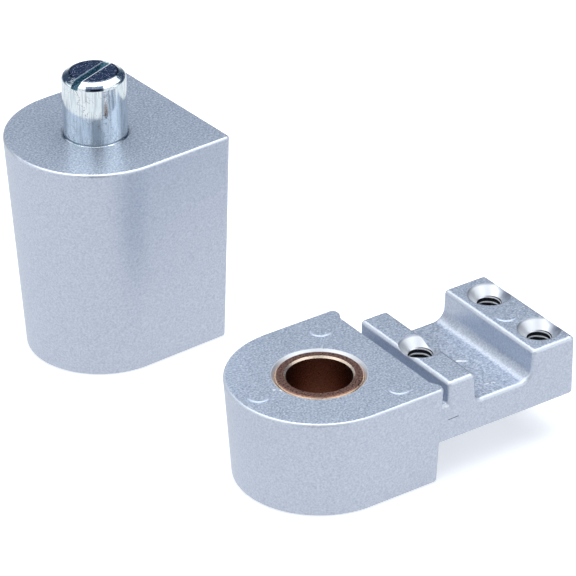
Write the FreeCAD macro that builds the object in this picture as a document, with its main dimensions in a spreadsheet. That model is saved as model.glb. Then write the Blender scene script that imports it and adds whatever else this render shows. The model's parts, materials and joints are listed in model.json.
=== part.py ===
import FreeCAD, Part
import math
import os
import re
import Sketcher
from FreeCAD import Placement, Rotation, Vector

# Offset pivot hinge for a door, in two halves that stand side by side.
# A tall D-shaped barrel carries a slotted pin, and an arm with a boss carries the bush.
# The frame's origin is on the pin's axis at the barrel's base: +Z runs up the pin,
# +X points from the pin to the barrel's flat back, and Y runs across the barrel.

doc = FreeCAD.newDocument("offset_pivot_hinge")

# Driving dimensions in millimetres and degrees, one named cell each.
SIZES = {
    # both castings
    "barrel_radius": 17.46,
    "draft_angle": 3.5,
    "rim_round": 0.5,
    "corner_round": 0.9,
    # tall half
    "housing_height": 44.6,
    "housing_flat": 18.65,
    "frame_hole_radius": 2.76,
    "frame_hole_depth": 9.0,
    "frame_hole_sink": 0.45,
    "frame_hole_spacing": 22.2,
    "frame_hole_centre": 22.3,
    # pin
    "pin_radius": 6.1,
    "pin_projection": 12.7,
    "land_step": 0.2,
    "land_recess": 0.05,
    "pin_guided": 8.0,
    "pin_bevel_width": 1.6,
    "pin_bevel_height": 0.95,
    "pin_round": 0.8,
    "tail_radius": 4.76,
    "tail_length": 17.7,
    "tail_bevel": 0.9,
    "relief_depth": 0.9,
    "relief_width": 1.6,
    "slot_width": 1.5,
    "slot_depth": 1.35,
    "slot_turn": 18.0,
    "running_gap": 0.05,
    "end_gap": 0.3,
    "bore_lead": 0.2,
    "drill_point": 118.0,
    # short half: boss and bush
    "arm_height": 20.1,
    "boss_flat": 15.5,
    "boss_flat_lean": 1.7,
    "boss_corner_round": 1.0,
    "recess_depth": 0.95,
    "recess_inset": 3.66,
    "recess_ramp": 1.9,
    "bush_wall": 2.0,
    "bush_recess": 0.05,
    "bush_bevel": 0.35,
    "mouth_bevel": 0.6,
    # short half: arm
    "groove_width": 1.45,
    "groove_depth": 4.3,
    "groove_round": 0.55,
    "ridge_width": 6.0,
    "channel_width": 13.2,
    "channel_depth": 5.9,
    "channel_lean": 4.0,
    "channel_round_ridge": 1.2,
    "channel_round_block": 2.4,
    "block_width": 9.55,
    "arm_thickness": 6.4,
    "arm_inset": 1.0,
    "arm_far_inset": 6.12,
    "arm_draft": 1.0,
    "arm_round": 0.85,
    # tapped holes in the arm
    "arm_hole_radius": 2.4,
    "sink_radius": 4.1,
    "sink_angle": 90.0,
    "hole_line_side": -0.14,
    "ridge_hole_inset": 3.6,
    "block_hole_inset": 3.72,
    "block_hole_side": 6.25,
    # ejector marks on the arm's upper faces
    "mark_radius": 2.2,
    "mark_height": 0.14,
    "mark_slope": 65.0,
    "mark_circle": 15.2,
    "mark_circle_far": 13.3,
    "mark_turn": 54.3,
    "block_mark_inset": 5.9,
    "block_mark_side": 0.41,
    # where the short half stands beside the tall one
    "stand_x": 3.77,
    "stand_y": -63.2,
    "stand_turn": -3.0,
}

sheet = doc.addObject("Spreadsheet::Sheet", "Sizes")
for row, (name, value) in enumerate(SIZES.items(), start=1):
    sheet.set(f"A{row}", name)
    sheet.set(f"B{row}", str(value))
    sheet.setAlias(f"B{row}", name)
doc.recompute()


def bound(text):
    """Turns sheet names in an expression into references to their cells."""
    return re.sub(r"[a-z_]+", lambda word: f"Sizes.{word[0]}" if word[0] in SIZES else word[0], text)


def measure(text):
    """The present value of an expression of sheet names."""
    value = sheet.evalExpression(bound(str(text)))
    return float(getattr(value, "Value", value))


def bind(thing, **expressions):
    """Ties properties of an object to expressions of sheet names."""
    for name, text in expressions.items():
        thing.setExpression(name, bound(text))


def new_body(label, **place):
    """A body with its own label, placed by expressions for x, y, z and a turn about Z."""
    body = doc.addObject("PartDesign::Body", label)
    body.Label = label
    body.Placement = Placement(Vector(0, 0, 0), Rotation(Vector(0, 0, 1), 1))
    body.setExpression("Placement.Rotation.Angle", bound(place.pop("turn", "0")))
    for axis, text in place.items():
        body.setExpression(f"Placement.Base.{axis}", bound(text))
    return body


def new_sketch(body, name, plane, lift="0", turn=None):
    """A sketch on one of the body's own origin planes, lifted along the plane's normal."""
    sketch = body.newObject("Sketcher::SketchObject", name)
    origin_plane = next(item for item in body.Origin.OriginFeatures if item.Role == plane)
    sketch.AttachmentSupport = [(origin_plane, "")]
    sketch.MapMode = "FlatFace"
    if turn is not None:
        sketch.AttachmentOffset = Placement(Vector(0, 0, 0), Rotation(Vector(0, 0, 1), 1))
        sketch.setExpression("AttachmentOffset.Rotation.Angle", bound(turn))
    sketch.setExpression("AttachmentOffset.Base.z", bound(lift))
    return sketch


def fix_point(sketch, geometry, point, across, along):
    """Fixes one sketch point at two expressions, measured from the sketch's origin."""
    for kind, axis, text in (("DistanceX", -2, across), ("DistanceY", -1, along)):
        value = measure(text)
        if text == "0":
            sketch.addConstraint(Sketcher.Constraint("PointOnObject", geometry, point, axis))
            continue
        index = sketch.addConstraint(Sketcher.Constraint(kind, -1, 1, geometry, point, value))
        sketch.setExpression(f"Constraints[{index}]", bound(text))


def draw_outline(sketch, corners):
    """A closed outline of straight sides through corners given as pairs of expressions."""
    points = [Vector(measure(across), measure(along), 0) for across, along in corners]
    count = len(points)
    for index in range(count):
        sketch.addGeometry(Part.LineSegment(points[index], points[(index + 1) % count]), False)
    for index in range(count):
        sketch.addConstraint(Sketcher.Constraint("Coincident", index, 2, (index + 1) % count, 1))
    for index, (across, along) in enumerate(corners):
        fix_point(sketch, index, 1, across, along)


def draw_circles(sketch, circles):
    """Full circles given as (centre across, centre along, radius) expressions."""
    for across, along, radius in circles:
        centre = Vector(measure(across), measure(along), 0)
        index = sketch.addGeometry(Part.Circle(centre, Vector(0, 0, 1), measure(radius)), False)
        size = sketch.addConstraint(Sketcher.Constraint("Radius", index, measure(radius)))
        sketch.setExpression(f"Constraints[{size}]", bound(radius))
        fix_point(sketch, index, 3, across, along)


def draw_barrel(sketch, radius, back):
    """A D: half a circle about the origin, two tangent sides and a straight back."""
    round_end = Part.Circle(Vector(0, 0, 0), Vector(0, 0, 1), measure(radius))
    sketch.addGeometry(Part.ArcOfCircle(round_end, math.pi / 2, 3 * math.pi / 2), False)
    near_corner = Vector(measure(back), -measure(radius), 0)
    far_corner = Vector(measure(back), measure(radius), 0)
    sketch.addGeometry(Part.LineSegment(Vector(0, near_corner.y, 0), near_corner), False)
    sketch.addGeometry(Part.LineSegment(near_corner, far_corner), False)
    sketch.addGeometry(Part.LineSegment(far_corner, Vector(0, far_corner.y, 0)), False)
    sketch.addConstraint(Sketcher.Constraint("Coincident", 0, 3, -1, 1))
    sketch.addConstraint(Sketcher.Constraint("Tangent", 0, 2, 1, 1))
    sketch.addConstraint(Sketcher.Constraint("Coincident", 1, 2, 2, 1))
    sketch.addConstraint(Sketcher.Constraint("Coincident", 2, 2, 3, 1))
    sketch.addConstraint(Sketcher.Constraint("Tangent", 3, 2, 0, 1))
    sketch.addConstraint(Sketcher.Constraint("Horizontal", 1))
    sketch.addConstraint(Sketcher.Constraint("Horizontal", 3))
    sketch.addConstraint(Sketcher.Constraint("Vertical", 2))
    size = sketch.addConstraint(Sketcher.Constraint("Radius", 0, measure(radius)))
    sketch.setExpression(f"Constraints[{size}]", bound(radius))
    reach = sketch.addConstraint(Sketcher.Constraint("DistanceX", -1, 1, 1, 2, near_corner.x))
    sketch.setExpression(f"Constraints[{reach}]", bound(back))


def add_feature(body, kind, name, sketch, settings=None, **expressions):
    """A sketch-based feature whose sizes are expressions of sheet names."""
    before = body.Shape.Volume if body.Tip else 0
    feature = body.newObject(f"PartDesign::{kind}", name)
    feature.Profile = sketch
    for key, value in (settings or {}).items():
        setattr(feature, key, value)
    bind(feature, **expressions)
    doc.recompute()
    if abs(feature.Shape.Volume - before) < 1e-3:
        raise RuntimeError(f"{name} changes nothing")
    return feature


def turned(body, kind, name, corners):
    """A revolved solid or cut from a half profile in (radius, height) expressions."""
    sketch = new_sketch(body, f"{name}_profile", "XZ_Plane")
    draw_outline(sketch, corners)
    settings = {"ReferenceAxis": (sketch, ["V_Axis"])}
    return add_feature(body, kind, name, sketch, settings, Angle="360")


def matching(shape, kind, test):
    """Names of the faces or edges of a shape that pass a test."""
    items = getattr(shape, f"{kind}s")
    names = [f"{kind}{index}" for index, item in enumerate(items, start=1) if test(item)]
    if not names:
        raise RuntimeError(f"no {kind} passes the test")
    return names


def rounded(body, name, radius, test):
    """Rounds each edge of the body's present shape that passes a test."""
    base = body.Tip
    fillet = body.newObject("PartDesign::Fillet", name)
    fillet.Base = (base, matching(base.Shape, "Edge", test))
    fillet.Refine = False
    bind(fillet, Radius=radius)
    doc.recompute()


def drafted(body, name, angle, rim_height, test):
    """Leans the side faces that pass a test inward, below the rim at a height."""
    base = body.Tip
    draft = body.newObject("PartDesign::Draft", name)
    draft.Base = (base, matching(base.Shape, "Face", test))
    rim_face = matching(base.Shape, "Face", lambda face: level(face, rim_height))[0]
    draft.NeutralPlane = (base, [rim_face])
    draft.Reversed = True
    bind(draft, Angle=angle)
    doc.recompute()


def near(value, text, slack=0.01):
    """Whether a number is an expression's value, within a small slack."""
    return abs(value - measure(text)) < slack


def level(item, height):
    """Whether a face or an edge lies flat at a height."""
    box = item.BoundBox
    return near(box.ZMin, height) and near(box.ZMax, height)


def runs_across(edge):
    """Whether an edge runs along Y."""
    box = edge.BoundBox
    return box.YLength > 3 * max(box.XLength, box.ZLength)


def side(face):
    """Whether a face stands up."""
    return face.BoundBox.ZLength > 1


def upright(edge):
    """Whether an edge is a straight run from a lower to a higher face."""
    box = edge.BoundBox
    return edge.Curve.TypeId == "Part::GeomLine" and box.ZLength > 3 * max(box.XLength, box.YLength)


# Places and radii worked out once from the driving dimensions.
LAND_RADIUS = "(pin_radius + land_step)"
BORE_RADIUS = "(pin_radius + land_step + running_gap)"
BORE_FLOOR = "(housing_height - pin_guided - pin_projection - end_gap)"
PIN_TOP = "(tail_length + pin_guided + pin_projection)"
LAND_TOP = "(tail_length + pin_guided - land_recess)"
BUSH_BORE = "(pin_radius + running_gap)"
BUSH_TOP = "(arm_height - bush_recess * 2)"
ARM_NEAR = "(arm_inset - barrel_radius)"
ARM_FAR = "(barrel_radius - arm_far_inset)"
GROOVE_BACK = "boss_flat - groove_depth * tan(boss_flat_lean * 1 deg)"
GROOVE_FLOOR = "arm_height - groove_depth"
RIDGE_START = "boss_flat + groove_width"
RIDGE_END = "boss_flat + groove_width + ridge_width"
BLOCK_START = "boss_flat + groove_width + ridge_width + channel_width"
ARM_END = "boss_flat + groove_width + ridge_width + channel_width + block_width"
CHANNEL_FLOOR = "arm_height - channel_depth"
ARM_UNDERSIDE = "arm_height - channel_depth - arm_thickness"
ARM_LEAN = "(channel_depth + arm_thickness) * tan(arm_draft * 1 deg)"
HOLE_LINE = f"(({ARM_NEAR} + {ARM_FAR}) / 2 + hole_line_side)"
HALF_SPACING = f"(({ARM_FAR} - {ARM_NEAR}) / 2 - block_hole_side)"
RECESS_HALF = "(barrel_radius - recess_inset)"
BUSH_RADIUS = "pin_radius + running_gap + bush_wall"

# Tall half: a D-shaped barrel, drafted so that it is widest at its rim, with a flat back.
housing = new_body("pin_housing")
rim = new_sketch(housing, "rim", "XY_Plane", "housing_height")
draw_barrel(rim, "barrel_radius", "housing_flat")
add_feature(housing, "Pad", "barrel", rim, {"Reversed": True}, Length="housing_height")
drafted(housing, "barrel_draft", "draft_angle", "housing_height",
        lambda face: side(face) and not near(face.BoundBox.XMin, "housing_flat"))
rounded(housing, "back_corners", "corner_round",
        lambda edge: upright(edge) and near(edge.BoundBox.XMin, "housing_flat"))
rounded(housing, "rim_edges", "rim_round",
        lambda edge: level(edge, "housing_height") or level(edge, "0"))

# The pin's bore, and below it the smaller hole that the pin's threaded tail screws into.
turned(housing, "Groove", "pin_bore", [
    ("0", "housing_height + 1"),
    (f"{BORE_RADIUS} + bore_lead + 1", "housing_height + 1"),
    (BORE_RADIUS, "housing_height - bore_lead"),
    (BORE_RADIUS, BORE_FLOOR),
    ("tail_radius + running_gap", BORE_FLOOR),
    ("tail_radius + running_gap", f"{BORE_FLOOR} - tail_length"),
    ("0", f"{BORE_FLOOR} - tail_length - (tail_radius + running_gap) / tan(drill_point / 2 * 1 deg)"),
])

# Two tapped holes in the flat back, one above the other.
frame_holes = new_sketch(housing, "frame_hole_centres", "YZ_Plane", "housing_flat")
draw_circles(frame_holes, [
    ("0", "frame_hole_centre - frame_hole_spacing / 2", "frame_hole_radius"),
    ("0", "frame_hole_centre + frame_hole_spacing / 2", "frame_hole_radius"),
])
drilled = add_feature(housing, "Hole", "frame_holes", frame_holes)
drilled.DepthType = "Dimension"
drilled.DrillPoint = "Angled"
drilled.HoleCutType = "Countersink"
drilled.HoleCutCustomValues = True
bind(drilled, Diameter="frame_hole_radius * 2", Depth="frame_hole_depth",
     HoleCutDiameter="(frame_hole_radius + frame_hole_sink) * 2", HoleCutCountersinkAngle="90")
doc.recompute()

# Pin: a threaded tail, a relief groove, the land that the bore guides, and the free end, which
# is a little thinner than the land and ends in a rounded bevel and a screwdriver slot.
pin = new_body("pivot_pin", z="housing_height - pin_guided - tail_length")
turned(pin, "Revolution", "turned_pin", [
    ("0", "0"),
    ("tail_radius - tail_bevel", "0"),
    ("tail_radius", "tail_bevel"),
    ("tail_radius", "tail_length - relief_width - relief_depth"),
    ("tail_radius - relief_depth", "tail_length - relief_width"),
    ("tail_radius - relief_depth", "tail_length"),
    (f"{LAND_RADIUS} - bore_lead", "tail_length"),
    (LAND_RADIUS, "tail_length + bore_lead"),
    (LAND_RADIUS, f"{LAND_TOP} - land_step / 2"),
    (f"{LAND_RADIUS} - land_step / 2", LAND_TOP),
    ("pin_radius", LAND_TOP),
    ("pin_radius", f"{PIN_TOP} - pin_bevel_height"),
    ("pin_radius - pin_bevel_width", PIN_TOP),
    ("0", PIN_TOP),
])
rounded(pin, "pin_end_edges", "pin_round",
        lambda edge: level(edge, PIN_TOP) or level(edge, f"{PIN_TOP} - pin_bevel_height"))
slot = new_sketch(pin, "slot_outline", "XY_Plane", PIN_TOP, turn="slot_turn")
draw_outline(slot, [
    ("-pin_radius * 1.5", "-slot_width / 2"), ("pin_radius * 1.5", "-slot_width / 2"),
    ("pin_radius * 1.5", "slot_width / 2"), ("-pin_radius * 1.5", "slot_width / 2"),
])
add_feature(pin, "Pocket", "slot", slot, Length="slot_depth")

# Short half: the boss is a shorter D, and its flat leans in a little below the rim.
arm = new_body("arm_leaf", x="stand_x", y="stand_y", turn="stand_turn")
boss_rim = new_sketch(arm, "boss_rim", "XY_Plane", "arm_height")
draw_barrel(boss_rim, "barrel_radius", "boss_flat")
add_feature(arm, "Pad", "boss", boss_rim, {"Reversed": True}, Length="arm_height")
drafted(arm, "boss_draft", "draft_angle", "arm_height",
        lambda face: side(face) and not near(face.BoundBox.XMin, "boss_flat"))
drafted(arm, "boss_flat_draft", "boss_flat_lean", "arm_height",
        lambda face: side(face) and near(face.BoundBox.XMin, "boss_flat"))
rounded(arm, "boss_corners", "boss_corner_round",
        lambda edge: upright(edge) and edge.BoundBox.XMin > measure("boss_flat / 2"))

rounded(arm, "boss_edges", "rim_round", lambda edge: level(edge, "arm_height") or level(edge, "0"))

# The arm's section has sides that lean in below the rim. It starts inside the boss.
arm_section = new_sketch(arm, "arm_section", "YZ_Plane", "boss_flat / 2")
draw_outline(arm_section, [
    (ARM_NEAR, "arm_height"),
    (f"{ARM_NEAR} + {ARM_LEAN}", ARM_UNDERSIDE),
    (f"{ARM_FAR} - {ARM_LEAN}", ARM_UNDERSIDE),
    (ARM_FAR, "arm_height"),
])
add_feature(arm, "Pad", "arm_block", arm_section, Length=f"{ARM_END} - boss_flat / 2")

# A narrow groove parts the boss from the ridge, with a shallow recess along the boss's flat.
groove_plan = new_sketch(arm, "groove_plan", "XY_Plane", "arm_height")
draw_outline(groove_plan, [
    (RIDGE_START, "-barrel_radius * 1.2"),
    (RIDGE_START, "barrel_radius * 1.2"),
    (GROOVE_BACK, "barrel_radius * 1.2"),
    (GROOVE_BACK, f"{RECESS_HALF} + recess_ramp"),
    (f"{GROOVE_BACK} - recess_depth", RECESS_HALF),
    (f"{GROOVE_BACK} - recess_depth", f"-{RECESS_HALF}"),
    (GROOVE_BACK, f"-{RECESS_HALF} - recess_ramp"),
    (GROOVE_BACK, "-barrel_radius * 1.2"),
])
add_feature(arm, "Pocket", "groove", groove_plan, Length="groove_depth")
rounded(arm, "groove_corner_at_ridge", "groove_round",
        lambda edge: level(edge, GROOVE_FLOOR) and runs_across(edge)
        and near(edge.BoundBox.XMin, RIDGE_START))

# The channel between the ridge and the end block, with walls that lean and rounded corners.
channel = new_sketch(arm, "channel_profile", "XZ_Plane")
draw_outline(channel, [
    (RIDGE_END, "arm_height"),
    (f"{RIDGE_END} + channel_depth * tan(channel_lean * 1 deg)", CHANNEL_FLOOR),
    (f"{BLOCK_START} - channel_depth * tan(channel_lean * 1 deg)", CHANNEL_FLOOR),
    (BLOCK_START, "arm_height"),
])
add_feature(arm, "Pocket", "channel", channel, {"Type": "ThroughAll", "Midplane": True})

# Rounded corners of the channel, then every outside edge of the arm and the boss.
rounded(arm, "channel_corner_at_ridge", "channel_round_ridge",
        lambda edge: level(edge, CHANNEL_FLOOR) and runs_across(edge)
        and edge.BoundBox.XMax < measure(f"({RIDGE_END} + {BLOCK_START}) / 2"))
rounded(arm, "channel_corner_at_block", "channel_round_block",
        lambda edge: level(edge, CHANNEL_FLOOR) and runs_across(edge)
        and edge.BoundBox.XMin > measure(f"({RIDGE_END} + {BLOCK_START}) / 2"))
rounded(arm, "arm_edges", "arm_round",
        lambda edge: (edge.BoundBox.XMin > measure(RIDGE_START) - 0.01
                      and not (runs_across(edge) and edge.BoundBox.ZMax < measure("arm_height") - 0.01))
        or (level(edge, ARM_UNDERSIDE) and edge.BoundBox.XMax > measure(RIDGE_START)))

# The bush's bore has a bevelled mouth. Four ejector marks stand a little proud.
turned(arm, "Groove", "bush_bore", [
    ("0", "-1"),
    (BUSH_RADIUS, "-1"),
    (BUSH_RADIUS, "arm_height - mouth_bevel"),
    (f"{BUSH_RADIUS} + mouth_bevel + 1", "arm_height + 1"),
    ("0", "arm_height + 1"),
])
marks = new_sketch(arm, "mark_centres", "XY_Plane", "arm_height")
draw_circles(marks, [
    ("mark_circle * cos(mark_turn * 1 deg)", "mark_circle * sin(mark_turn * 1 deg)", "mark_radius"),
    ("mark_circle * cos(mark_turn * 1 deg)", "-mark_circle * sin(mark_turn * 1 deg)", "mark_radius"),
    ("-mark_circle_far", "0", "mark_radius"),
    (f"{ARM_END} - block_mark_inset", f"{HOLE_LINE} - block_mark_side", "mark_radius"),
])
add_feature(arm, "Pad", "ejector_marks", marks, Length="mark_height", TaperAngle="-mark_slope")

# Three tapped holes run through the arm: one in the ridge and two in the end block.
arm_holes = new_sketch(arm, "arm_hole_centres", "XY_Plane", "arm_height")
draw_circles(arm_holes, [
    (f"{RIDGE_START} + ridge_hole_inset", HOLE_LINE, "arm_hole_radius"),
    (f"{ARM_END} - block_hole_inset", f"{HOLE_LINE} - {HALF_SPACING}", "arm_hole_radius"),
    (f"{ARM_END} - block_hole_inset", f"{HOLE_LINE} + {HALF_SPACING}", "arm_hole_radius"),
])
tapped = add_feature(arm, "Hole", "arm_holes", arm_holes)
tapped.DepthType = "ThroughAll"
tapped.HoleCutType = "Countersink"
tapped.HoleCutCustomValues = True
bind(tapped, Diameter="arm_hole_radius * 2", HoleCutDiameter="sink_radius * 2",
     HoleCutCountersinkAngle="sink_angle")
doc.recompute()

# The bush is a plain sleeve, pressed in a little below the boss's upper face.
bush = new_body("bush", x="stand_x", y="stand_y", z="bush_recess", turn="stand_turn")
turned(bush, "Revolution", "sleeve", [
    (BUSH_BORE, "bush_bevel"),
    (f"{BUSH_BORE} + bush_bevel", "0"),
    (f"{BUSH_RADIUS} - bush_bevel", "0"),
    (BUSH_RADIUS, "bush_bevel"),
    (BUSH_RADIUS, f"{BUSH_TOP} - bush_bevel"),
    (f"{BUSH_RADIUS} - bush_bevel", BUSH_TOP),
    (f"{BUSH_BORE} + bush_bevel", BUSH_TOP),
    (BUSH_BORE, f"{BUSH_TOP} - bush_bevel"),
])

doc.recompute()

# Every object must have come out sound before anything is written.
bodies = [item for item in doc.Objects if item.TypeId == "PartDesign::Body"]
for item in doc.Objects:
    if "Invalid" in item.State or "Error" in item.State:
        raise RuntimeError(f"{item.Name} failed: {item.State}")
for body in bodies:
    if body.Shape.isNull() or not body.Shape.isValid():
        raise RuntimeError(f"{body.Label} has no valid shape")

os.makedirs("parts", exist_ok=True)
for body in bodies:
    body.Shape.exportStep(f"parts/{body.Label}.step")
    box = body.Shape.optimalBoundingBox()
    print(f"{body.Label}: {len(body.Shape.Solids)} solid, {body.Shape.Volume:.1f} mm3,"
          f" x {box.XMin:.2f}..{box.XMax:.2f}, y {box.YMin:.2f}..{box.YMax:.2f},"
          f" z {box.ZMin:.2f}..{box.ZMax:.2f}")
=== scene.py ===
# %% [markdown]
# # An offset pivot hinge in two halves
#
# The tall half is a D-shaped barrel with a slotted pin in it. The short half is a boss with a
# bronze bush, and an arm with a groove, a ridge, a channel and an end block. Both are zinc
# castings under silver-blue metallic paint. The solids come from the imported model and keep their
# shape, so this file adds what a solid leaves out: the paint's grain, the turned and plated
# steel, the oiled bronze, the screw threads, and the studio around them.

import json
import math

import bpy
import numpy as np
from mathutils import Matrix, Vector


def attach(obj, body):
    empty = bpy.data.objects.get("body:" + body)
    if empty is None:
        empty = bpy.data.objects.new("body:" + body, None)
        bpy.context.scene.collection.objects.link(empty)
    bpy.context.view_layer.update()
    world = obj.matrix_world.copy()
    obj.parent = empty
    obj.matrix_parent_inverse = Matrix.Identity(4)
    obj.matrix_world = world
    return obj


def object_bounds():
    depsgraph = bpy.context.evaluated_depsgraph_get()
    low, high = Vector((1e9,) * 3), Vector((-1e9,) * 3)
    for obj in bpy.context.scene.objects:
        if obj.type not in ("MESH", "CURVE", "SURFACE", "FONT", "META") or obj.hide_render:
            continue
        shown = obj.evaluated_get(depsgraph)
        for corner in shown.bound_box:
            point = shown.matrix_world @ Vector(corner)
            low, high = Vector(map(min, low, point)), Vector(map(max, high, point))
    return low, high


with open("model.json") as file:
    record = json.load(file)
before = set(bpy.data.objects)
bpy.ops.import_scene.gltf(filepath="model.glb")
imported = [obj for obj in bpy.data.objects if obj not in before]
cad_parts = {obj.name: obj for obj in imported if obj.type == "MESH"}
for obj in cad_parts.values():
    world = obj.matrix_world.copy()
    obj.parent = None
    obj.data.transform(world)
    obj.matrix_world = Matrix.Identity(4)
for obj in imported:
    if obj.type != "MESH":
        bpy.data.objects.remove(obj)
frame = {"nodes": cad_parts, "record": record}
cad_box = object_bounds()
nodes = frame["nodes"]
mounts = {mount["name"]: mount for mount in frame["record"]["mounts"]}
MM = 0.001
print("solids:", sorted(nodes))

# %% [markdown]
# ## The camera
#
# A long lens far away keeps a small product's upright edges nearly parallel. A guess by eye is
# quick but drifts, so this camera was fitted instead: edge points of the photograph were matched
# to the model's edges until they fell on each other within half a pixel. A camera looks along
# its own -Z, so its matrix holds the directions right, up and back as columns.

# %% Place the camera
VIEW_TURN = math.radians(-37.161)
VIEW_RISE = math.radians(30.329)
VIEW_ROLL = math.radians(-0.686)
VIEW_DISTANCE = 643.7 * MM
VIEW_TARGET = Vector((-56.64, -133.64, 91.70)) * MM
LENS = 262.99
SENSOR_WIDTH = 36
SHIFT = (0.0010, 0.0052)
NEAREST = 0.05


def view_axes():
    """Right, up and back of the camera: back from turn and rise, then a roll about it."""
    back = Vector((math.sin(VIEW_TURN) * math.cos(VIEW_RISE),
                   -math.cos(VIEW_TURN) * math.cos(VIEW_RISE),
                   math.sin(VIEW_RISE)))
    unrolled_right = Vector((0, 0, 1)).cross(back).normalized()
    unrolled_up = back.cross(unrolled_right)
    right = unrolled_right * math.cos(VIEW_ROLL) + unrolled_up * math.sin(VIEW_ROLL)
    return right, back.cross(right), back


right, up, back = view_axes()
camera = bpy.data.objects.new("camera", bpy.data.cameras.new("camera"))
camera.data.lens = LENS
camera.data.sensor_width = SENSOR_WIDTH
camera.data.shift_x, camera.data.shift_y = SHIFT
camera.data.clip_start = NEAREST
place = VIEW_TARGET + back * VIEW_DISTANCE
camera.matrix_world = Matrix.Translation(place) @ Matrix((right, up, back)).transposed().to_4x4()
bpy.context.scene.collection.objects.link(camera)
bpy.context.scene.camera = camera
print("camera at", tuple(round(value, 3) for value in place))

# %% [markdown]
# ## Node trees as short sentences
#
# A room or a finish is a tree of nodes. It could be wired up one socket at a time, but then the
# idea drowns in links. These helpers each stand for one step of thought, such as the product of
# two masks, so that a finish further down reads like its own description.

# %% Helpers that add and link nodes
# The sockets of a colour mix, which has one set of sockets for each kind of data.
MIX_AMOUNT, MIX_FIRST, MIX_SECOND, MIX_RESULT = 0, 6, 7, 2


def add_node(tree, kind, **settings):
    """A node of a kind, with its settings and its unlinked inputs given by name."""
    node = tree.nodes.new(kind)
    inputs = settings.pop("inputs", {})
    for key, value in settings.items():
        setattr(node, key, value)
    for key, value in inputs.items():
        node.inputs[key].default_value = value
    return node


def wire(tree, *pairs):
    """Links (output, input) pairs."""
    for source, target in pairs:
        tree.links.new(source, target)


def feed(tree, socket, value):
    """Gives an input a plain value, or links it to another node's output."""
    if isinstance(value, bpy.types.NodeSocket):
        tree.links.new(value, socket)
    else:
        socket.default_value = value


def mix_colour(tree, amount, first, second):
    """The first colour where amount is 0, the second where it is 1."""
    node = add_node(tree, "ShaderNodeMix", data_type="RGBA")
    for index, value in ((MIX_AMOUNT, amount), (MIX_FIRST, first), (MIX_SECOND, second)):
        feed(tree, node.inputs[index], value)
    return node.outputs[MIX_RESULT]


def stretch(tree, value, low, high, to_low=0.0, to_high=1.0):
    """The range from low to high mapped to the one from to_low to to_high, and kept inside it."""
    node = add_node(tree, "ShaderNodeMapRange",
                    inputs={"From Min": low, "From Max": high, "To Min": to_low, "To Max": to_high})
    tree.links.new(value, node.inputs["Value"])
    return node.outputs["Result"]


# %% Helpers that calculate
def math_node(tree, operation, first, second=None, clamp=False):
    """A Math node's output, fed by sockets or plain numbers."""
    node = add_node(tree, "ShaderNodeMath", operation=operation, use_clamp=clamp)
    feed(tree, node.inputs[0], first)
    if second is not None:
        feed(tree, node.inputs[1], second)
    return node.outputs[0]


def vector_node(tree, operation, first, second=None):
    """A Vector Math node's vector, or its number where it measures, fed the same way."""
    node = add_node(tree, "ShaderNodeVectorMath", operation=operation)
    feed(tree, node.inputs[0], first)
    if second is not None:
        feed(tree, node.inputs[1], second)
    measures = operation in ("DOT_PRODUCT", "LENGTH", "DISTANCE")
    return node.outputs["Value" if measures else "Vector"]


def times(tree, first, second):
    """The product. Of two masks, it is 1 only where both are."""
    return math_node(tree, "MULTIPLY", first, second)


def plus(tree, first, second):
    """The sum."""
    return math_node(tree, "ADD", first, second)


def either(tree, first, second):
    """The larger of the two. Of two masks, it is 1 where at least one is."""
    return math_node(tree, "MAXIMUM", first, second)


def distance_from(tree, value, centre):
    """How far a number is from a centre, on either side."""
    return math_node(tree, "ABSOLUTE", math_node(tree, "SUBTRACT", value, centre))


def how_far_towards(tree, vector, way):
    """How far a vector goes in a fixed direction: their dot product."""
    return vector_node(tree, "DOT_PRODUCT", vector, way)


# %% [markdown]
# ## The studio
#
# The object stands on a white table in a pale room, under one large soft light that hangs a
# little behind it. Painted metal shows little colour of its own, so most of what the eye reads is
# this room. Flat tops mirror the dark wall behind and turn grey-blue, rounded edges mirror the
# lamp as a white line, and upright sides mirror the white table. One dark patch in front gives
# the pin's shoulder its short dark line. A photograph of a real room could surround the object
# instead, but then nothing in it could be tuned, so the walls are worked out from the direction
# alone. The table and the room are plain white to camera rays, so the background needs no more
# light on the object.

# %% The room
# Each stop is the sine of a height and the colour of the back wall there, from the floor up.
BACK_STOPS = ((0.0, (0.36, 0.39, 0.44)), (0.10, (0.16, 0.19, 0.25)),
              (0.28, (0.035, 0.060, 0.110)), (0.66, (0.040, 0.065, 0.115)),
              (1.0, (0.80, 0.84, 0.90)))
FRONT_COLOUR = (0.80, 0.85, 0.92, 1)
FRONT_FADE = (-0.40, 0.10)
# The dark patch: how far it lies to the right, half its width, and how far forward it starts.
# The last two are pairs, from nothing to full strength.
PATCH_COLOUR = (0.06, 0.08, 0.12, 1)
PATCH_SIDE = 0.12
PATCH_WIDTH = (0.34, 0.24)
PATCH_FORWARD = (0.48, 0.58)
CAMERA_WHITE = (1, 1, 1, 1)
level_right = Vector((right.x, right.y, 0)).normalized()
level_back = Vector((back.x, back.y, 0)).normalized()


def back_wall(tree, height):
    """The back wall's colour: a ramp over the sine of the height."""
    ramp = add_node(tree, "ShaderNodeValToRGB")
    while len(ramp.color_ramp.elements) < len(BACK_STOPS):
        ramp.color_ramp.elements.new(0.5)
    for element, (position, colour) in zip(ramp.color_ramp.elements, BACK_STOPS):
        element.position = position
        element.color = (*colour, 1)
    wire(tree, (height, ramp.inputs[0]))
    return ramp.outputs[0]


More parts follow.
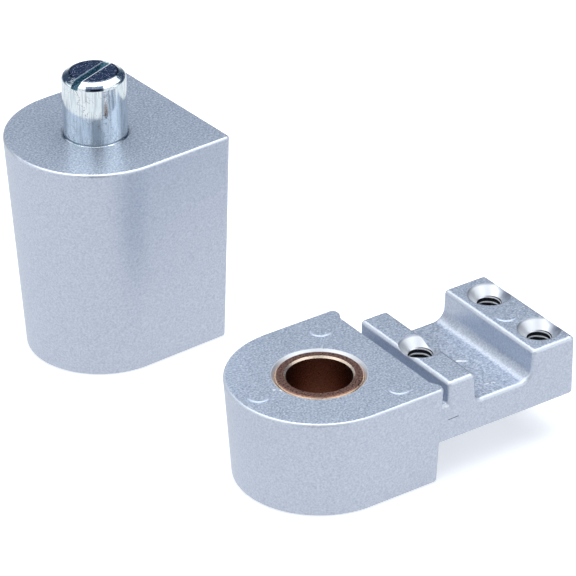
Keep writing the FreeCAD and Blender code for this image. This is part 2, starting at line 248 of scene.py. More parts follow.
def make_room():
    """A dark wall behind, pale walls in front with a dark patch, and white to camera rays."""
    world = bpy.data.worlds.new("room")
    world.use_nodes = True
    tree = world.node_tree
    tree.nodes.clear()
    direction = add_node(tree, "ShaderNodeTexCoord").outputs["Generated"]
    axes = add_node(tree, "ShaderNodeSeparateXYZ")
    rays = add_node(tree, "ShaderNodeLightPath")
    wire(tree, (direction, axes.inputs[0]))
    towards_camera = how_far_towards(tree, direction, level_back)
    front = stretch(tree, towards_camera, *FRONT_FADE)
    walls = mix_colour(tree, front, back_wall(tree, axes.outputs["Z"]), FRONT_COLOUR)
    aside = distance_from(tree, how_far_towards(tree, direction, level_right), PATCH_SIDE)
    patch = times(tree, stretch(tree, aside, *PATCH_WIDTH),
                  stretch(tree, towards_camera, *PATCH_FORWARD))
    walls = mix_colour(tree, patch, walls, PATCH_COLOUR)
    seen = mix_colour(tree, rays.outputs["Is Camera Ray"], walls, CAMERA_WHITE)
    light = add_node(tree, "ShaderNodeBackground")
    output = add_node(tree, "ShaderNodeOutputWorld")
    wire(tree, (seen, light.inputs["Color"]), (light.outputs[0], output.inputs[0]))
    return world


bpy.context.scene.world = make_room()
bpy.context.scene.view_settings.view_transform = "Standard"
print("room:", len(BACK_STOPS), "stops on the back wall, one dark patch in front")

# %% The floor
FLOOR_HALF = 1.6
FLOOR_GAP = 0.02 * MM
FLOOR_COLOUR = (0.86, 0.86, 0.87, 1)
CAMERA_LIFT = 0.45
MIRROR_WHITE = (0.94, 0.96, 1.0, 1)


def make_floor_paint():
    """White paint that is a little brighter to the camera and plain white in mirrors."""
    material = bpy.data.materials.new("floor")
    material.use_nodes = True
    tree = material.node_tree
    tree.nodes.clear()
    rays = add_node(tree, "ShaderNodeLightPath")
    paint = add_node(tree, "ShaderNodeBsdfDiffuse", inputs={"Color": FLOOR_COLOUR})
    lift = add_node(tree, "ShaderNodeEmission")
    lifted = add_node(tree, "ShaderNodeAddShader")
    mirrored = add_node(tree, "ShaderNodeEmission", inputs={"Color": MIRROR_WHITE})
    seen = add_node(tree, "ShaderNodeMixShader")
    output = add_node(tree, "ShaderNodeOutputMaterial")
    camera_lift = times(tree, rays.outputs["Is Camera Ray"], CAMERA_LIFT)
    wire(tree, (camera_lift, lift.inputs["Strength"]),
         (paint.outputs[0], lifted.inputs[0]), (lift.outputs[0], lifted.inputs[1]),
         (rays.outputs["Is Glossy Ray"], seen.inputs[0]),
         (lifted.outputs[0], seen.inputs[1]), (mirrored.outputs[0], seen.inputs[2]),
         (seen.outputs[0], output.inputs[0]))
    return material


def make_floor():
    """One level square, just under the object so that the two don't share a plane."""
    half = FLOOR_HALF
    mesh = bpy.data.meshes.new("floor")
    mesh.from_pydata([(-half, -half, 0), (half, -half, 0), (half, half, 0), (-half, half, 0)],
                     [], [(0, 1, 2, 3)])
    mesh.materials.append(make_floor_paint())
    floor = bpy.data.objects.new("floor", mesh)
    floor.location.z = cad_box[0][2] - FLOOR_GAP
    bpy.context.scene.collection.objects.link(floor)
    return floor


floor = make_floor()
print("floor at", round(floor.location.z / MM, 2), "mm")

# %% The soft lights
LIGHT_AIM = Vector((18, -38, 18)) * MM
LAMP_TINT = (0.93, 0.97, 1.0)


def soft_light(name, place, size, power, level=False):
    """A soft light at (right, camera-ward, up) metres from the aim, facing the aim or the floor."""
    offset = level_right * place[0] + level_back * place[1] + Vector((0, 0, place[2]))
    lamp = bpy.data.objects.new(name, bpy.data.lights.new(name, "AREA"))
    lamp.data.shape = "RECTANGLE"
    lamp.data.size, lamp.data.size_y = size
    lamp.data.energy = power
    lamp.data.color = LAMP_TINT
    turn = offset.to_track_quat("Z", "Y").to_matrix()
    if level:
        turn = Matrix((level_right, -level_back, (0, 0, 1))).transposed()
    lamp.matrix_world = Matrix.Translation(LIGHT_AIM + offset) @ turn.to_4x4()
    bpy.context.scene.collection.objects.link(lamp)
    print("light:", name, power, "W")


soft_light("overhead", place=(0.0, -0.16, 0.50), size=(0.72, 0.66), power=2.9, level=True)
soft_light("left_box", place=(-0.75, -0.20, 0.35), size=(0.45, 0.30), power=0.30)
soft_light("right_box", place=(0.75, 0.10, 0.35), size=(0.45, 0.30), power=0.25)

# %% [markdown]
# ## The grain
#
# Paint, plate and bronze all have a grain that is finer than a millimetre. One group makes it, so
# that each finish only sets its own grain size and depth. It reads object coordinates, which
# makes the grain a real size and keeps it in place when a half swings.

# %% A shared grain group
# Noise seldom leaves this range, so it is what gets stretched to 0..1.
NOISE_SPAN = (0.28, 0.72)
GRAIN_OCTAVES = 2.0
CLOUD_OCTAVES = 3.0


def new_group(name, outputs, numbers=(), vectors=()):
    """A node group with named inputs and outputs, and its input and output nodes."""
    group = bpy.data.node_groups.new(name, "ShaderNodeTree")
    for label in vectors:
        group.interface.new_socket(label, in_out="INPUT", socket_type="NodeSocketVector")
    for label in numbers:
        group.interface.new_socket(label, in_out="INPUT", socket_type="NodeSocketFloat")
    for label in outputs:
        group.interface.new_socket(label, in_out="OUTPUT", socket_type="NodeSocketFloat")
    print("group:", name, "gives", ", ".join(outputs))
    return group, add_node(group, "NodeGroupInput"), add_node(group, "NodeGroupOutput")


def place_group(tree, group, **inputs):
    """A group placed in a material. A value named half_width_mm sets its Half width mm."""
    values = {key.replace("_", " ").capitalize(): value for key, value in inputs.items()}
    return add_node(tree, "ShaderNodeGroup", node_tree=group, inputs=values)


def make_grain_group():
    """Fine noise and broad noise from 0 to 1, and a height in metres: fine noise times depth."""
    group, start, end = new_group("grain", ("Grain", "Cloud", "Height"),
                                  numbers=("Grain size mm", "Cloud size mm", "Depth mm"))
    place = add_node(group, "ShaderNodeTexCoord").outputs["Object"]
    noises = {}
    for name, octaves in (("Grain", GRAIN_OCTAVES), ("Cloud", CLOUD_OCTAVES)):
        per_metre = math_node(group, "DIVIDE", 1 / MM, start.outputs[f"{name} size mm"])
        noise = add_node(group, "ShaderNodeTexNoise", inputs={"Detail": octaves})
        noises[name] = noise.outputs[0]
        wire(group, (place, noise.inputs["Vector"]), (per_metre, noise.inputs["Scale"]),
             (stretch(group, noises[name], *NOISE_SPAN), end.inputs[name]))
    depth = times(group, start.outputs["Depth mm"], MM)
    wire(group, (times(group, noises["Grain"], depth), end.inputs["Height"]))
    return group


GRAIN = make_grain_group()

# %% [markdown]
# ## Where an effect lies
#
# On a worn or machined casting the finish changes at the edges and in the holes. Painting those
# places by hand on an unwrapped surface would work, but it would be lost with every change of the
# model. A mask that is worked out from the surface itself stays right: which way it faces, how
# high it is, and how far it is from an axis or from a line. Three groups give such masks.

# %% Slopes, by the way a surface faces
# Each pair is where a mask starts and where it is full, for one part of the unit normal. The
# normal's height is 0 on an upright wall and 1 on a level top.
SLOPE_STARTS = (0.25, 0.45)
SLOPE_ENDS = (0.985, 0.94)
LEVEL_FROM = (0.95, 0.99)
NEAR_FROM = (-0.2, -0.35)
FAR_FROM = (0.08, 0.25)
FAR_WAY = (0.60, 0.80, 0)


def make_slope_group():
    """Mask is 1 on bevels and rounded edges, Flat is 1 on level tops.

    Near is 1 on what faces -Y, Far is 1 on what faces FAR_WAY, and Height mm is the height.
    """
    group, _, end = new_group("slope", ("Mask", "Flat", "Near", "Far", "Height mm"))
    place = add_node(group, "ShaderNodeTexCoord")
    axes = add_node(group, "ShaderNodeSeparateXYZ")
    where = add_node(group, "ShaderNodeSeparateXYZ")
    normal = place.outputs["Normal"]
    wire(group, (normal, axes.inputs[0]), (place.outputs["Object"], where.inputs[0]))
    mask = times(group, stretch(group, axes.outputs["Z"], *SLOPE_STARTS),
                 stretch(group, axes.outputs["Z"], *SLOPE_ENDS))
    far = stretch(group, how_far_towards(group, normal, FAR_WAY), *FAR_FROM)
    wire(group, (mask, end.inputs["Mask"]), (far, end.inputs["Far"]),
         (stretch(group, axes.outputs["Z"], *LEVEL_FROM), end.inputs["Flat"]),
         (stretch(group, axes.outputs["Y"], *NEAR_FROM), end.inputs["Near"]),
         (math_node(group, "DIVIDE", where.outputs["Z"], MM), end.inputs["Height mm"]))
    return group


SLOPE = make_slope_group()

# %% Cones, by the distance from an axis
CONE_FADE = (0.14, 0.08)
# Each is a direction, and the millimetres from the axis where the countersink's painted shade
# starts and is full.
SINK_SHADE_SIDES = (((0.73, -0.68, 0), 1.5, 2.6), ((1.0, -0.05, 0), 3.0, 3.5))


def make_cone_group():
    """Mask is 1 on a 45 degree cone about an upright axis: there, radius less height is Offset mm.

    Its second output is 1 on the part of it that lies far enough in one of the listed directions:
    there the countersink gets painted shade.
    """
    group, start, end = new_group("cone", ("Mask", "Painted shade"), numbers=("Offset mm",),
                                  vectors=("Axis",))
    place = add_node(group, "ShaderNodeTexCoord").outputs["Object"]
    height = add_node(group, "ShaderNodeSeparateXYZ")
    wire(group, (place, height.inputs[0]))
    from_axis = vector_node(group, "SUBTRACT", place, start.outputs["Axis"])
    radius = vector_node(group, "LENGTH", vector_node(group, "MULTIPLY", from_axis, (1, 1, 0)))
    less_height = math_node(group, "SUBTRACT", radius, height.outputs["Z"])
    less_height = math_node(group, "DIVIDE", less_height, MM)
    off_cone = distance_from(group, less_height, start.outputs["Offset mm"])
    mask = stretch(group, off_cone, *CONE_FADE)
    sink_shade = 0.0
    for way, low, high in SINK_SHADE_SIDES:
        side = how_far_towards(group, from_axis, [part / MM for part in way])
        sink_shade = either(group, sink_shade, stretch(group, side, low, high))
    wire(group, (mask, end.inputs["Mask"]), (times(group, mask, sink_shade), end.inputs["Painted shade"]))
    return group


CONE = make_cone_group()

# %% Short marks, by the distance from a line
# The mask starts and is full at these shares of the half width.
STREAK_FADE = (1.15, 0.75)


def make_streak_group():
    """Mask is 1 near the straight line from Start to End, up to about Half width mm from it.

    The line's nearest point lies at a share of the way from Start to End. The share is the
    dot product of the way so far and the whole way, over the whole way's with itself, kept
    between 0 and 1.
    """
    group, start, end = new_group("streak", ("Mask",), numbers=("Half width mm",),
                                  vectors=("Start", "End"))
    place = add_node(group, "ShaderNodeTexCoord").outputs["Object"]
    so_far = vector_node(group, "SUBTRACT", place, start.outputs["Start"])
    whole = vector_node(group, "SUBTRACT", start.outputs["End"], start.outputs["Start"])
    share = math_node(group, "DIVIDE", vector_node(group, "DOT_PRODUCT", so_far, whole),
                      vector_node(group, "DOT_PRODUCT", whole, whole), clamp=True)
    nearest = add_node(group, "ShaderNodeVectorMath", operation="SCALE")
    wire(group, (whole, nearest.inputs[0]), (share, nearest.inputs["Scale"]))
    gap = vector_node(group, "DISTANCE", so_far, nearest.outputs[0])
    half_width = times(group, start.outputs["Half width mm"], MM)
    widths_away = math_node(group, "DIVIDE", gap, half_width)
    wire(group, (stretch(group, widths_away, *STREAK_FADE), end.inputs["Mask"]))
    return group


STREAK = make_streak_group()


# %% Helpers for the finishes
def new_material(name):
    """An empty material with a Principled shader wired to its output."""
    material = bpy.data.materials.new(name)
    material.use_nodes = True
    tree = material.node_tree
    tree.nodes.clear()
    shader = add_node(tree, "ShaderNodeBsdfPrincipled")
    output = add_node(tree, "ShaderNodeOutputMaterial")
    wire(tree, (shader.outputs[0], output.inputs[0]))
    return material, tree, shader


def place_grain(tree, size, cloud, depth):
    """The grain group with its three numbers set, in millimetres."""
    return place_group(tree, GRAIN, grain_size_mm=size, cloud_size_mm=cloud, depth_mm=depth)


def bump_from(tree, height):
    """The normal of a Bump node whose height is in metres."""
    bump = add_node(tree, "ShaderNodeBump", inputs={"Strength": 1.0, "Distance": 1.0})
    wire(tree, (height, bump.inputs["Height"]))
    return bump.outputs[0]


def cover(names, material):
    """Gives each named solid one finish."""
    for name in names:
        nodes[name].data.materials.clear()
        nodes[name].data.materials.append(material)
    print(material.name, "on", ", ".join(names))


# %% [markdown]
# ## The painted castings
#
# The paint is silver-blue with metal flakes in it, sprayed on a slightly rough casting. Full
# metal would look like bare zinc, and no metal would look like plastic, so the shader is part
# metal with a wide gloss. Each flake is lighter or darker than the next, and the lacquer over
# them is uneven, which gives the sparkle where a surface turns through the light.
#
# Upper rims get a painted highlight, pale and neutral, and are smoother. The lower rounded edges
# and fillets get a lighter, more neutral painted highlight, and rims on the far side a painted
# dark reflection of the wall behind. The countersinks and the bevel round the bush were cut after
# painting, so they are bare metal, and each countersink has painted shade on one side and a painted
# dark line at its rim. Perfect paint looks like a drawing, so a few small chips and one scratch lie
# in it.

# %% The colours of the paint
PAINT_LIGHT = (0.67, 0.715, 0.80, 1)
PAINT_DARK = (0.47, 0.523, 0.62, 1)
FLAT_LIGHT = (0.79, 0.84, 0.93, 1)
FLAT_DARK = (0.34, 0.40, 0.51, 1)
BARE_COLOUR = (0.90, 0.905, 0.91, 1)
CHIP_COLOUR = (0.96, 0.96, 0.96, 1)
SCRATCH_COLOUR = (0.10, 0.12, 0.16, 1)
# The strength and the colour of each zone's tint, in the order that they cover each other: a
# painted highlight on the rims, a darker tint on the ejector marks' sides, a lighter, more neutral
# painted highlight on the fillets, and a painted dark reflection on the far rims.
TINTS = {"rim": (0.50, (0.93, 0.93, 0.94, 1)), "mark": (0.35, (0.36, 0.42, 0.53, 1)),
         "fillet": (0.40, (0.72, 0.72, 0.73, 1)), "far_rim": (0.80, (0.16, 0.19, 0.25, 1))}
# The painted shade on the countersinks: its strength and its colour.
SINK_SHADE_TINT = (0.80, (0.36, 0.40, 0.48, 1))

# %% Zones of the casting
# Heights in millimetres: the ejector marks' sloped sides, and where the upper rims begin.
MARK_HEIGHT = 20.17
MARK_HALF = (0.07, 0.09)
RIM_START = (18.9, 19.0)
# Below these heights a rim is on the short half.
SHORT_HALF = (30.0, 29.0)


def casting_zones(tree):
    """Masks from 0 to 1 of the zones where the paint differs.

    rim: rounded edges near the top, and all those that face -Y. fillet: the other rounded
    edges. mark: the sides of the ejector marks. far_rim: rounded edges that face FAR_WAY.
    coarse: where the flakes show most. soft: where the paint is less glossy.
    """
    slope = place_group(tree, SLOPE)
    rounded, height = slope.outputs["Mask"], slope.outputs["Height mm"]
    off_mark = stretch(tree, distance_from(tree, height, MARK_HEIGHT), *MARK_HALF)
    upper = either(tree, stretch(tree, height, *RIM_START), slope.outputs["Near"])
    # The rims and fillets carry painted highlights, and the far rims a painted dark reflection.
    rim = times(tree, rounded, times(tree, off_mark, upper))
    fillet = times(tree, rounded, math_node(tree, "SUBTRACT", 1.0, upper))
    mark = math_node(tree, "SUBTRACT", rounded, plus(tree, rim, fillet), clamp=True)
    far_rim = times(tree, slope.outputs["Far"], rounded)
    far_rim = math_node(tree, "SUBTRACT", far_rim, mark, clamp=True)
    short_rim = times(tree, rim, stretch(tree, height, *SHORT_HALF))
    return {"rim": rim, "fillet": fillet, "mark": mark, "far_rim": far_rim, "height": height,
            "coarse": either(tree, slope.outputs["Flat"], fillet),
            "soft": plus(tree, short_rim, plus(tree, fillet, mark))}


# %% Machined cones
# The mounts on the countersinks' axes, and each cone's radius less its height in millimetres.
COUNTERSINKS = ("ridge_hole", "block_hole_near", "block_hole_far")
SINK_OFFSET = -16.0
BUSH_BEVEL_OFFSET = -11.35
# Above these heights in millimetres a countersink gets a painted dark line, right at its rim.
SINK_RIM = (19.80, 20.06)


def place_cone(tree, mount, offset):
    """The cone group about a mount's axis."""
    return place_group(tree, CONE, axis=mounts[mount]["pos_m"], offset_mm=offset)


def machined_masks(tree, height):
    """Bare is 1 where a cutter took the paint off; the other is the countersinks' painted shade."""
    sinks, sink_shade = 0.0, 0.0
    for mount in COUNTERSINKS:
        cone = place_cone(tree, mount, SINK_OFFSET)
        sinks = either(tree, sinks, cone.outputs["Mask"])
        sink_shade = either(tree, sink_shade, cone.outputs["Painted shade"])
    bevel = place_cone(tree, "bush_bore", BUSH_BEVEL_OFFSET)
    bare = either(tree, sinks, bevel.outputs["Mask"])
    # A painted dark line at each countersink's rim.
    rims = times(tree, sinks, stretch(tree, height, *SINK_RIM))
    return bare, either(tree, rims, sink_shade)


# %% Chips and a scratch
# Two end points and half a width of each, in millimetres.
CHIPS = (((32.30, -67.80, 14.20), (33.40, -68.62, 14.20), 0.30),
         ((31.00, -77.10, 14.20), (31.75, -77.40, 14.20), 0.12),
         ((32.35, -77.60, 14.20), (32.90, -77.85, 14.20), 0.12),
         ((-6.05, -62.50, 20.10), (-5.95, -62.60, 20.10), 0.22),
         ((-5.20, -63.38, 20.10), (-5.05, -63.50, 20.10), 0.24),
         ((-10.55, -53.15, 19.66), (-10.45, -53.30, 19.66), 0.22),
         ((19.45, -80.25, 15.47), (19.75, -80.32, 15.45), 0.26))
SCRATCHES = (((19.88, -80.39, 12.49), (22.10, -80.51, 12.51), 0.085),)
# The flakes' grain breaks a chip's outline: from this range to this strength.
CHIP_GRAIN = (0.1, 0.5, 0.7, 1.0)


def streak_mask(tree, streaks):
    """1 on any of a list of short straight marks."""
    total = 0.0
    for start, end, half_width in streaks:
        streak = place_group(tree, STREAK, start=[part * MM for part in start],
                             end=[part * MM for part in end], half_width_mm=half_width)
        total = either(tree, total, streak.outputs["Mask"])
    return total


# %% Metallic paint
# Grain size, cloud size and depth in millimetres, of the flakes and of the casting under them.
FLAKES = (0.36, 9.0, 0.030)
CASTING_TEXTURE = (0.7, 22.0, 0.007)
PAINT_ROUGHNESS = (0.29, 0.43)
SOFT_ROUGHNESS = 0.12
PAINT_METAL, BARE_METAL = 0.72, 0.95
# A colour mix lays these two over the paint's own values, so they are written as greys.
BARE_ROUGHNESS = (0.42, 0.42, 0.42, 1)
CHIP_METAL = (0, 0, 0, 1)
# How calm a rim is where bare metal is 1, and the share of the bump that is left at 1.
RIM_CALM = 0.35
CALM_BUMP = 0.1


def tinted(tree, colour, zone, tint):
    """A colour with a tint of its own strength laid over it in one zone."""
    strength, over = tint
    return mix_colour(tree, times(tree, zone, strength), colour, over)


def paint_colour(tree, grain, zones, bare, sink_shade, chip):
    """The flakes' two colours, with the zones' tints, the bare metal, the countersinks' painted
    shade and the damage laid over them.
    """
    upright = mix_colour(tree, grain, PAINT_DARK, PAINT_LIGHT)
    flat = mix_colour(tree, grain, FLAT_DARK, FLAT_LIGHT)
    colour = mix_colour(tree, zones["coarse"], upright, flat)
    # Painted highlights on rims and fillets, and a painted dark reflection on the far rims.
    for name, tint in TINTS.items():
        colour = tinted(tree, colour, zones[name], tint)
    colour = mix_colour(tree, bare, colour, BARE_COLOUR)
    # Painted shade on the countersinks.
    colour = tinted(tree, colour, sink_shade, SINK_SHADE_TINT)
    colour = mix_colour(tree, chip, colour, CHIP_COLOUR)
    return mix_colour(tree, streak_mask(tree, SCRATCHES), colour, SCRATCH_COLOUR)


def paint_roughness(tree, grain, zones, bare):
    """Rougher where the grain is high and where the paint is soft. Bare metal has its own."""
    rough = stretch(tree, grain, 0.0, 1.0, *PAINT_ROUGHNESS)
    rough = plus(tree, rough, times(tree, zones["soft"], SOFT_ROUGHNESS))
    return mix_colour(tree, bare, rough, BARE_ROUGHNESS)


def paint_metal(tree, bare, chip):
    """Part metal on the paint, nearly all metal where it is bare, and none on a chip."""
    metal = stretch(tree, bare, 0.0, 1.0, PAINT_METAL, BARE_METAL)
    return mix_colour(tree, chip, metal, CHIP_METAL)


def paint_height(tree, flakes, texture, zones, bare):
    """Flakes plus casting texture, times less where the surface is calm: bare metal and rims."""
    calm = either(tree, bare, times(tree, zones["rim"], RIM_CALM))
    height = plus(tree, flakes.outputs["Height"], texture.outputs["Height"])
    return times(tree, height, stretch(tree, calm, 0.0, 1.0, 1.0, CALM_BUMP))


def make_paint():
    """Silver-blue metallic paint: colour, gloss and bump all follow the flakes."""
    material, tree, shader = new_material("silver_paint")
    flakes = place_grain(tree, *FLAKES)
    texture = place_grain(tree, *CASTING_TEXTURE)
    grain = flakes.outputs["Grain"]
    zones = casting_zones(tree)
    bare, sink_shade = machined_masks(tree, zones["height"])
    chip = times(tree, streak_mask(tree, CHIPS), stretch(tree, grain, *CHIP_GRAIN))
    height = paint_height(tree, flakes, texture, zones, bare)
    wire(tree,
         (paint_colour(tree, grain, zones, bare, sink_shade, chip), shader.inputs["Base Color"]),
         (paint_roughness(tree, grain, zones, bare), shader.inputs["Roughness"]),
         (paint_metal(tree, bare, chip), shader.inputs["Metallic"]),
         (bump_from(tree, height), shader.inputs["Normal"]))
    return material


cover(["pin_housing", "arm_leaf"], make_paint())

# %% [markdown]
# ## The pin
#
# The pin is turned steel with bright zinc plate, which is nearly a mirror. Polished metal with no
# marks on it would look like glass, so the marks carry the finish: short upright streaks on the
# wall, fine crooked scratches, and a speckled end face with faint blue and violet tints. Streaks
# are noise that is stretched along the pin, and scratches are the thin band where a second noise
# passes through its middle value. The end face has a painted dark reflection round it, and the
# shoulder a short painted dark reflection in front. The slot has painted highlights on its edges,
# and a teal floor, darker than the plate, whose colour paints light into the slot's shade.

# %% Marks on the pin
STREAK_SCALE = (3400, 3400, 260)
STREAK_OCTAVES = 2.0
SCRATCH_SCALE = (700, 700, 560)
SCRATCH_OCTAVES = 3.0
SCRATCH_BEND = 0.6
STREAK_STRENGTH, SCRATCH_STRENGTH = 0.50, 0.85
# Each pair is where a mask starts and where it is full.
STREAK_FROM = (0.48, 0.72)
PATCHES_FROM = (0.30, 0.60)
WALL_FROM = (0.4, 0.1)
SCRATCH_HALF = (0.014, 0.005)


def scaled_noise(tree, place, scale, octaves, bend=0.0):
    """Noise with its own number of grains per metre along each axis."""
    mapping = add_node(tree, "ShaderNodeMapping", inputs={"Scale": scale})
    noise = add_node(tree, "ShaderNodeTexNoise",
                     inputs={"Scale": 1.0, "Detail": octaves, "Distortion": bend})
    wire(tree, (place, mapping.inputs[0]), (mapping.outputs[0], noise.inputs["Vector"]))
    return noise.outputs[0]


def pin_marks(tree, place, normal_z, streaks, cloud):
    """The larger of two masks: streaks on the upright wall, and scratches in patches.

    A scratch is where a second noise is close to its middle value, 0.5.
    """
    scratches = scaled_noise(tree, place, SCRATCH_SCALE, SCRATCH_OCTAVES, SCRATCH_BEND)
    patches = stretch(tree, cloud, *PATCHES_FROM)
    on_wall = times(tree, stretch(tree, streaks, *STREAK_FROM),
                    stretch(tree, normal_z, *WALL_FROM))
    scratch = stretch(tree, distance_from(tree, scratches, 0.5), *SCRATCH_HALF)
    scratch = times(tree, scratch, patches)
    return either(tree, times(tree, scratch, SCRATCH_STRENGTH),
                  times(tree, on_wall, STREAK_STRENGTH))


# %% The painted shoulder reflection and the slot
# The painted dark reflection on the shoulder: its height and its side, then its ranges in
# millimetres from nothing to full.
REFLECTION_HEIGHT = 56.40
REFLECTION_WAY = (-0.55, -0.83, 0)
REFLECTION_ACROSS = (0.83, -0.55, 0)
REFLECTION_THICK = (0.44, 0.34)
REFLECTION_FORWARD = (4.8 * MM, 5.0 * MM)
REFLECTION_WIDE = (1.85, 1.55)
# The streaks thin the painted reflection out: from this range to this strength.
REFLECTION_STREAKS = (0.32, 0.5, 0.88, 0.98)
# The slot, as the solid has it, with its painted edge highlights just outside.
SLOT_TURN = math.radians(18)
SLOT_HALF = 0.75
SLOT_HIGHLIGHT_GAP = 0.06
SLOT_HIGHLIGHT_HALF = (0.12, 0.06)
SLOT_FLOOR_FADE = 0.05
# From this range across the slot to this strength of the painted edge highlights.
SLOT_SIDES = (0.0, 0.2, 1.0, 0.5)


def painted_reflection(tree, place, streaks):
    """1 in a short band on the shoulder, where a dark reflection is painted: near its height, in
    front, and not far to the side.
    """
    height = place_group(tree, SLOPE).outputs["Height mm"]
    band = stretch(tree, distance_from(tree, height, REFLECTION_HEIGHT), *REFLECTION_THICK)
    forward = stretch(tree, how_far_towards(tree, place, REFLECTION_WAY), *REFLECTION_FORWARD)
    aside = math_node(tree, "DIVIDE", how_far_towards(tree, place, REFLECTION_ACROSS), MM)
    aside = math_node(tree, "ABSOLUTE", aside)
    painted_light_area = times(tree, forward, stretch(tree, aside, *REFLECTION_WIDE))
    painted_light_area = times(tree, painted_light_area, stretch(tree, streaks, *REFLECTION_STREAKS))
    return times(tree, band, painted_light_area)


def slot_masks(tree, place, end_face):
    """Masks of the slot's painted edge highlights and its floor, by the distance from its
    centre line.

    The distance is the place's part along the slot's own sideways direction, which is
    (-sine, cosine) of its turn. The edge on the near side is the brighter one.
    """
    sideways = (-math.sin(SLOT_TURN) / MM, math.cos(SLOT_TURN) / MM, 0)
    across = how_far_towards(tree, place, sideways)
    aside = math_node(tree, "ABSOLUTE", across)
    from_edge = distance_from(tree, aside, SLOT_HALF + SLOT_HIGHLIGHT_GAP)
    slot_highlight = times(tree, stretch(tree, from_edge, *SLOT_HIGHLIGHT_HALF), end_face)
    slot_highlight = times(tree, slot_highlight, stretch(tree, across, *SLOT_SIDES))
    floor = times(tree, stretch(tree, aside, SLOT_HALF, SLOT_HALF - SLOT_FLOOR_FADE), end_face)
    return slot_highlight, floor


# %% Zinc plate
ZINC_COOL = (0.74, 0.83, 0.87, 1)
ZINC_PALE = (0.86, 0.91, 0.92, 1)
PIN_MARK_COLOUR = (0.24, 0.27, 0.31, 1)
END_BLUE = (0.36, 0.45, 0.62, 1)
END_VIOLET = (0.74, 0.76, 0.92, 1)
# A painted dark reflection on the round between the end face and the bevel: strength and colour.
RING_REFLECTION_TINT = (0.9, (0.07, 0.09, 0.13, 1))
# The painted dark reflection on the shoulder in front: its colour.
REFLECTION_COLOUR = (0.05, 0.07, 0.11, 1)
# The slot floor: a teal colour, painted lighter than the shade in the slot leaves it.
SLOT_FLOOR_PAINTED_LIGHT = (0.30, 0.62, 0.70, 1)
# The painted highlight on the slot's edges: its colour.
SLOT_HIGHLIGHT_COLOUR = (0.95, 0.97, 0.98, 1)
PIN_GRAIN = (0.34, 3.2, 0.0025)
STREAK_DEPTH = 0.004 * MM
# Where the parts of the pin start and are full, by the normal's height.
END_FACE_FROM = (0.90, 0.95)
SHOULDER_FROM = (0.5, 0.7)
RING_STARTS = (0.88, 0.91)
RING_ENDS = (0.998, 0.985)
SPECKLE_FROM = (0.35, 0.9)
SPECKLE_ROUGHNESS = 0.17
# From this range of the streaks to this roughness, and how metallic the slot's painted edge
# highlights are.
STREAK_ROUGHNESS = (0.3, 0.7, 0.07, 0.15)
SLOT_HIGHLIGHT_METAL = 0.25


def make_zinc():
    """Zinc on turned steel: streaks along the pin, fine dark scratches, a dark speckled end."""
    material, tree, shader = new_material("zinc_plate")
    coordinates = add_node(tree, "ShaderNodeTexCoord")
    place = coordinates.outputs["Object"]
    facing = add_node(tree, "ShaderNodeSeparateXYZ")
    wire(tree, (coordinates.outputs["Normal"], facing.inputs[0]))
    normal_z = facing.outputs["Z"]
    streaks = scaled_noise(tree, place, STREAK_SCALE, STREAK_OCTAVES)
    grain = place_grain(tree, *PIN_GRAIN)
    end_face = stretch(tree, normal_z, *END_FACE_FROM)
    shoulder = stretch(tree, normal_z, *SHOULDER_FROM)
    ring_reflection = times(tree, stretch(tree, normal_z, *RING_STARTS),
                 stretch(tree, normal_z, *RING_ENDS))
    slot_highlight, floor = slot_masks(tree, place, end_face)

    colour = mix_colour(tree, grain.outputs["Cloud"], ZINC_COOL, ZINC_PALE)
    marks = pin_marks(tree, place, normal_z, streaks, grain.outputs["Cloud"])
    colour = mix_colour(tree, marks, colour, PIN_MARK_COLOUR)
    end_colour = mix_colour(tree, grain.outputs["Grain"], END_BLUE, END_VIOLET)
    colour = mix_colour(tree, end_face, colour, end_colour)
    # A painted dark reflection round the end face.
    colour = tinted(tree, colour, ring_reflection, RING_REFLECTION_TINT)
    # A painted dark reflection on the shoulder in front, thinned by the streaks.
    colour = mix_colour(tree, painted_reflection(tree, place, streaks), colour, REFLECTION_COLOUR)
    # Painted light on the slot floor.
    colour = mix_colour(tree, floor, colour, SLOT_FLOOR_PAINTED_LIGHT)
    # A painted highlight along the slot's edges.
    colour = mix_colour(tree, slot_highlight, colour, SLOT_HIGHLIGHT_COLOUR)

    speckle = times(tree, stretch(tree, grain.outputs["Grain"], *SPECKLE_FROM), shoulder)
    rough = plus(tree, stretch(tree, streaks, *STREAK_ROUGHNESS),
                 times(tree, speckle, SPECKLE_ROUGHNESS))
    height = plus(tree, times(tree, streaks, STREAK_DEPTH), grain.outputs["Height"])
    wire(tree, (colour, shader.inputs["Base Color"]), (rough, shader.inputs["Roughness"]),
         (stretch(tree, slot_highlight, 0.0, 1.0, 1.0, SLOT_HIGHLIGHT_METAL), shader.inputs["Metallic"]),
         (bump_from(tree, height), shader.inputs["Normal"]))
    return material


cover(["pivot_pin"], make_zinc())

# %% [markdown]
# ## The bush
#
# The bush is pressed from bronze powder and soaked in oil, so it is brown, softly glossy and
# slightly pitted. A smooth brass shader would be simpler, but the pores are what tells a pressed
# bush from a turned one, and the shared grain group gives them. The bore is painted darker as
# shade. The bevels at its outside and at its bore are worn bright, with a painted highlight on
# them. Both slope at the same angle, so the distance from the axis tells them apart. The inner
# one is the paler.

# %% Oiled bronze
BRONZE_DARK = (0.27, 0.135, 0.11, 1)
BRONZE_LIGHT = (0.54, 0.30, 0.215, 1)
# Painted shade in the bore: a darker brown.
BORE_SHADE_COLOUR = (0.29, 0.155, 0.11, 1)
# The bevels' bright colours: partly wear, partly a painted highlight.
OUTER_EDGE = (0.88, 0.60, 0.40, 1)
INNER_EDGE = (1.0, 0.80, 0.62, 1)
PORES = (0.34, 2.5, 0.012)
BRONZE_ROUGHNESS = (0.24, 0.36)
